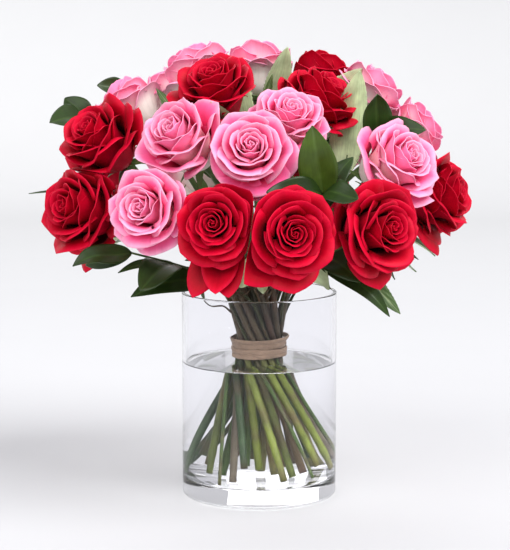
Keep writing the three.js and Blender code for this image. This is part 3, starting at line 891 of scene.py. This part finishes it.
# Where the dry scraps start, how far they reach and how thick they are, each from least to most,
# and how far their bends stray.
SCRAPS = {
    "count": 16,
    "root": [(-0.020, -0.050, 0.196), (0.012, -0.038, 0.210)],
    "reach": [(-0.010, -0.016, 0.014), (0.010, -0.004, 0.024)],
    "thickness": [0.0005, 0.0010],
    "stray": 0.0032,
}
DRY_TWIG = [
    (-0.026, -0.020, 0.182),
    (-0.034, -0.026, 0.189),
    (-0.046, -0.030, 0.190),
    (-0.054, -0.033, 0.198),
]


def dry_fibre_parts():
    """Curled dry scraps of the leaves that were stripped, caught among the stems above the tie, and
    one dry twig that sticks out beside them."""
    rng = np.random.default_rng(SEEDS["fibres"])
    paths = []
    for _ in range(SCRAPS["count"]):
        root = rng.uniform(*SCRAPS["root"])
        reach = rng.uniform(*SCRAPS["reach"])
        bends = [root + reach * t + rng.normal(0, SCRAPS["stray"], 3) for t in (0, 0.35, 0.7, 1)]
        paths.append((bends, rng.uniform(*SCRAPS["thickness"])))
    paths.append((DRY_TWIG, 0.0010))
    parts = []
    for bends, thickness in paths:
        path = through(bends, 7)
        radii = thickness * np.linspace(1, 0.4, len(path))
        points, quads, grain = tube(path, radii, 8, np.full(len(path), 0.3))
        parts.append((points, quads, rgba(DRY_BROWN * rng.uniform(0.6, 1.3)), grain, 0))
    return parts


def sprig_parts(name, number):
    """A ruscus sprig's stem and leaves."""
    rng = np.random.default_rng(SEEDS["sprig"] + number)
    points, _ = cad_mesh(name)
    foot = cad_foot(points, SPRIG["radius"])
    low = ring_centre(points, LOW_Z - 0.0018, LOW_Z + 0.0018)
    bend = foot + (low - foot) * (BEND_Z - foot[2]) / (low[2] - foot[2])
    route = [np.array(p) * MM for p in SPRIGS[name]["route"]]
    free = through([low, bend, *route], 12)
    path = np.concatenate([np.linspace(foot, low, 22, endpoint=False), free])
    radii = np.linspace(SPRIG["radius"], SPRIG["top"], len(path))
    parts = [stem_part(path, radii, SPRIG["colour"], rng)]
    for place, (joint, tip, width, *facing) in enumerate(SPRIGS[name]["leaves"]):
        look = YOUNG_LEAF if (name, place) in YOUNG else RUSCUS_LEAF
        parts.append(leaf_part(route[joint], np.array(tip) * MM, width * MM, look, rng, *facing))
    return parts


# ---------------------------------------------------------------- tie, vase and water
RAFFIA = {
    "strands": 6,
    "sides": 120,
    "inner": 0.0247,
    "width": [0.0042, 0.0062],
    "thickness": 0.0005,
    "colour": np.array([0.40, 0.265, 0.180]),
}


def strand_part(k, middle, half, rng):
    """The k-th flat strand of raffia up the band, a little off level. The band's middle height and
    half its width are given."""
    level = middle - half * 0.80 + 2 * half * 0.80 * k / (RAFFIA["strands"] - 1)
    level = level + rng.normal(0, 0.0008)
    width = rng.uniform(*RAFFIA["width"])
    layer = 0.0003 + 0.0006 * (k % 3) + rng.uniform(0, 0.0003)
    phase, tilt = rng.uniform(0, 2 * math.pi), rng.uniform(0.0004, 0.0014)
    turns = np.arange(RAFFIA["sides"]) * 2 * math.pi / RAFFIA["sides"]
    a, v = np.meshgrid(turns, np.linspace(-1, 1, 7), indexing="ij")
    z = level + tilt * np.sin(a + phase) + 0.0003 * np.sin(3 * a + 2 * phase) + v * width / 2
    flare = 0.0013 * ((z - middle) / half) ** 2
    r = RAFFIA["inner"] + layer + flare + 0.0004 * np.cos(v * 2.2)
    r = r + 0.00018 * np.sin(9 * a + 3 * v + phase) + 0.0004 * np.abs(np.sin(6 * a + k))
    outer = np.stack([r * np.cos(a), r * np.sin(a), z], axis=-1)
    r = r - RAFFIA["thickness"]
    inner = np.stack([r * np.cos(a), r * np.sin(a), z], axis=-1)
    ring = np.concatenate([outer, inner[:, ::-1]], axis=1)
    quads = grid_quads(*ring.shape[:2], wrap=True, ring=True)[:, ::-1]
    colours = rgba(RAFFIA["colour"] * rng.uniform(0.85, 1.1))
    grain_v = np.concatenate([v, v[:, ::-1]], axis=1) * width / 2
    grain_a = np.concatenate([a, a], axis=1) * RAFFIA["inner"]
    grain = np.stack([grain_v, grain_a], axis=-1).reshape(-1, 2)
    return ring.reshape(-1, 3), quads, colours, grain + k, 0


def raffia_parts():
    """Flat strands of raffia wound round the stems."""
    rng = np.random.default_rng(SEEDS["raffia"])
    low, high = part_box("tie")
    middle, half = (low[2] + high[2]) / 2, (high[2] - low[2]) / 2
    return [strand_part(k, middle, half, rng) for k in range(RAFFIA["strands"])]


def rounded(corner, before, after, radius, steps=6):
    """Points that round a corner of a profile, and one beyond each end to keep the walls straight."""
    corner, before, after = (np.array(p, dtype=float) for p in (corner, before, after))
    back = (before - corner) / np.linalg.norm(before - corner) * radius
    on = (after - corner) / np.linalg.norm(after - corner) * radius
    t = np.linspace(0, 1, steps)[:, None]
    curve = corner + (1 - t) ** 2 * back + t**2 * on
    return [tuple(p) for p in (corner + 1.15 * back, *curve, corner + 1.15 * on)]


def rounded_profile(corners, radii):
    """A profile with each corner between its ends rounded."""
    points = [corners[0]]
    for before, corner, after, radius in zip(corners, corners[1:], corners[2:], radii):
        points += rounded(corner, before, after, radius)
    return points + [corners[-1]]


def make_vase():
    """A straight glass cylinder with a bevelled foot, a rounded rim and a thick floor."""
    r, h, wall, floor = (VASE[k] for k in ("radius", "height", "wall", "floor"))
    inner = r - wall
    corners = [(0, 0.0004), (r - 0.006, 0.0), (r, 0.0025), (r, h), (inner, h), (inner, floor), (0, floor)]
    profile = rounded_profile(corners, [0.002, 0.0022, 0.0014, 0.0014, 0.005])
    return lathe("vase_glass", profile, VASE["sides"], glass_material())


def make_water():
    """The water reaches just into the glass, so no film of air shows between them, and climbs the
    wall a little at its edge."""
    wet, floor = VASE["radius"] - VASE["wall"] + 0.0001, VASE["floor"] - 0.0001
    off_wall = (0, 0.0005, 0.001, 0.002, 0.004, 0.007)
    edge = [(wet - d, WATER_LEVEL + 0.0016 * math.exp(-d / 0.0011)) for d in off_wall]
    rise = rounded_profile([(0, floor), (wet, floor), (wet, 0.06)], [0.0052])[1:-1]
    profile = [(0, floor), *rise, *edge, (0.03, WATER_LEVEL), (0, WATER_LEVEL)]
    water = lathe("vase_water", profile, VASE["sides"], water_material("vase_water", 0.4, 0.0))
    water.data.materials.append(water_material("water_surface", 1.0, 0.7))
    for face in water.data.polygons:
        face.material_index = int(face.center.z > WATER_LEVEL - 0.0001)
    return water


# ---------------------------------------------------------------- stage
FLOOR_COLOUR = np.array([0.622, 0.622, 0.638])
WALL_COLOUR = np.array([0.505, 0.506, 0.512])
WORLD_COLOUR = (0.60, 0.60, 0.625)
BOWL = {"sides": 96, "level": 2.6, "curve": 0.8}  # how far it is level, and its curve's radius


def make_stage():
    """A round white bowl that is level under the vase and curves up far from it on every side. Its
    wall is darker, because more light falls on it."""
    turns = np.arange(BOWL["sides"]) * 2 * math.pi / BOWL["sides"]
    curl = np.linspace(0, math.pi / 2, 13)
    reach = np.concatenate([[0, BOWL["level"] / 2], BOWL["level"] + BOWL["curve"] * np.sin(curl)])[:, None]
    height = np.concatenate([[0, 0], BOWL["curve"] * (1 - np.cos(curl))])[:, None]
    grid = np.stack(np.broadcast_arrays(reach * np.cos(turns), reach * np.sin(turns), height), axis=-1)
    points = grid.reshape(-1, 3)
    away = np.linalg.norm(points[:, :2], axis=1)
    colours = rgba(mix(FLOOR_COLOUR, WALL_COLOUR, smooth((away - 0.2) / 2.0)))
    part = (points, grid_quads(len(reach), BOWL["sides"], wrap=True), colours, points[:, :2], 0)
    build_mesh("floor", [part], [floor_material()])


def make_world():
    """Even pale light from all round."""
    world = bpy.data.worlds.new("studio")
    world.use_nodes = True
    back = world.node_tree.nodes["Background"]
    back.inputs["Color"].default_value = (*WORLD_COLOUR, 1)
    back.inputs["Strength"].default_value = 1.0
    bpy.context.scene.world = world


def soft_sun(name, place, angle, strength):
    """A light from far off, as wide as a studio's softbox, that shines from place to the vase."""
    light = bpy.data.lights.new(name, "SUN")
    light.angle = math.radians(angle)
    light.energy = strength
    lamp = bpy.data.objects.new(name, light)
    lamp.location = place
    lamp.rotation_euler = (-Vector(place)).to_track_quat("-Z", "Y").to_euler()
    bpy.context.collection.objects.link(lamp)


def make_camera():
    """The camera, where the photographer's was."""
    camera = bpy.data.cameras.new("camera")
    camera.sensor_width = CAMERA["sensor"]
    camera.lens = CAMERA["sensor"] * CAMERA["focal"] / IMAGE_HEIGHT
    camera.clip_end = 50
    held = bpy.data.objects.new("camera", camera)
    held.location = CAMERA["place"]
    held.rotation_euler = (math.pi / 2 - CAMERA["tilt"], 0, 0)
    bpy.context.collection.objects.link(held)
    bpy.context.scene.camera = held


# ---------------------------------------------------------------- the model
def settle(piece, slot, *nodes):
    """Hang a piece on the root body and hide the CAD nodes that it stands in for. Its slot, what it's made
    of, is not used.
    """
    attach(piece, "root")
    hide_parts(*nodes)


make_camera()
make_stage()
make_world()
soft_sun("key", (1.2, -1.0, 1.5), 42, 2.9)
soft_sun("fill", (-0.8, -1.5, 0.9), 60, 1.8)
soft_sun("back", (-0.3, 1.5, 0.9), 60, 1.0)

red_petal = petal_material("red_velvet_petal", (1.0, 0.20, 0.25), 0.48, 0.06, 0.12)
pink_petal = petal_material("pink_petal", (1.0, 0.70, 0.80), 0.50, 0.10, 0.10)
stem_skin = green_material("stem_skin", 0.45, 0.15, 12, 0.0004)
leaf_skin = green_material("leaf_skin", 0.42, 0.05, 14, 0.0002)
ruscus_skin = green_material("ruscus_skin", 0.34, 0.10, 22, 0.0002)

roses = read_roses()
for number, rose in enumerate(roses):
    red = rose["name"].startswith("red")
    skin = red_petal if red else pink_petal
    petals = build_mesh(rose["name"] + "_petals", bloom_parts(rose, roses), [skin])
    settle(petals, "red_petal" if red else "pink_petal", rose["name"] + "_bloom")
    greenery = rose_green_parts(rose, number)
    if rose["name"] == "red_front":
        greenery += dry_fibre_parts()
    green = build_mesh(rose["name"] + "_green", greenery, [stem_skin, leaf_skin])
    settle(green, "rose_stem", rose["name"] + "_stem")

for number, name in enumerate(SPRIGS):
    sprig = build_mesh(name + "_sprig", sprig_parts(name, number), [stem_skin, ruscus_skin])
    settle(sprig, "ruscus", name)

settle(build_mesh("raffia_tie", raffia_parts(), [raffia_material()]), "raffia", "tie")
for piece, slot, cad_node in ((make_vase(), "glass", "vase"), (make_water(), "water", "water")):
    piece.visible_shadow = False
    settle(piece, slot, cad_node)

scene = bpy.context.scene
scene.view_settings.view_transform = "Standard"
scene.cycles.max_bounces = 16
scene.cycles.transmission_bounces = 12
scene.cycles.transparent_max_bounces = 12
scene.cycles.diffuse_bounces = 5
